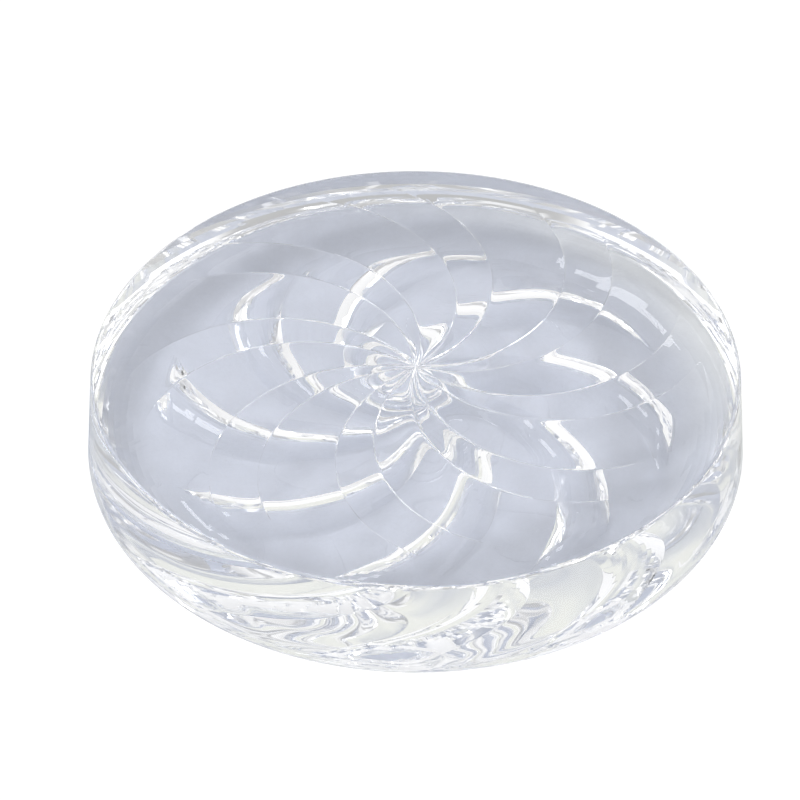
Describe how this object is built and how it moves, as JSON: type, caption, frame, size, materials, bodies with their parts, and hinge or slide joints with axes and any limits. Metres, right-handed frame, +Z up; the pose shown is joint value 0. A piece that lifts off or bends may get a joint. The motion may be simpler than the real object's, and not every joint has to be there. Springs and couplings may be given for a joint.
{
  "type": "flower frog disc",
  "caption": "Round solid clear-glass disc with a flat top, smooth wall and a swirl of grooves in both faces, used under a flower arrangement.",
  "frame": {"origin": "middle of the resting face, on the surface that the disc stands on", "axes": "+Z up along the disc's axis, out of the flat top; X and Y lie in the resting face"},
  "size_m": [0.11, 0.11, 0.022],
  "materials": {
    "clear_glass": "clear colourless crystal glass, fire polished, with fine handling marks"
  },
  "bodies": {
    "root": {"glass_disc": "clear_glass"}
  },
  "joints": []
}
